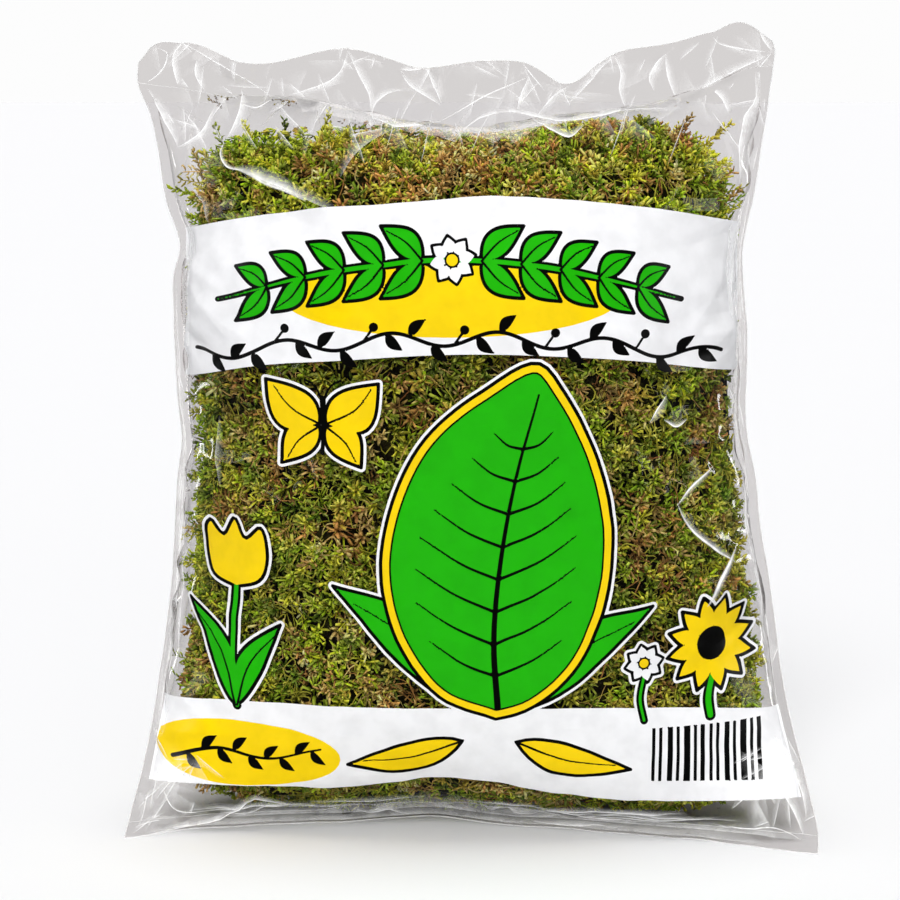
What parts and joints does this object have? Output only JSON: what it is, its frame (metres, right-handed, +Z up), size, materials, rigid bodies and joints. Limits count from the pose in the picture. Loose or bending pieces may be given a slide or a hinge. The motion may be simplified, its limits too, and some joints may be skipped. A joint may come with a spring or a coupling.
{
  "type": "bag of flat moss",
  "caption": "Springy clump of green and brown flat moss packed in a clear film pillow bag that stands on its bottom, with a crinkled header and a printed front.",
  "frame": {"origin": "middle of the flat patch of film that the bag stands on", "axes": "+Z up, -Y towards the printed front, +X to the right seen from the front"},
  "size_m": [0.337, 0.1452, 0.3932],
  "materials": {
    "moss": "dry springy moss, matt, green with brown patches",
    "clear_film": "clear glossy film, crinkled, printed in white, green, yellow and black on the front"
  },
  "bodies": {
    "root": {"moss_clump": "moss", "bag_film_front": "clear_film", "bag_film_back": "clear_film"}
  },
  "joints": []
}
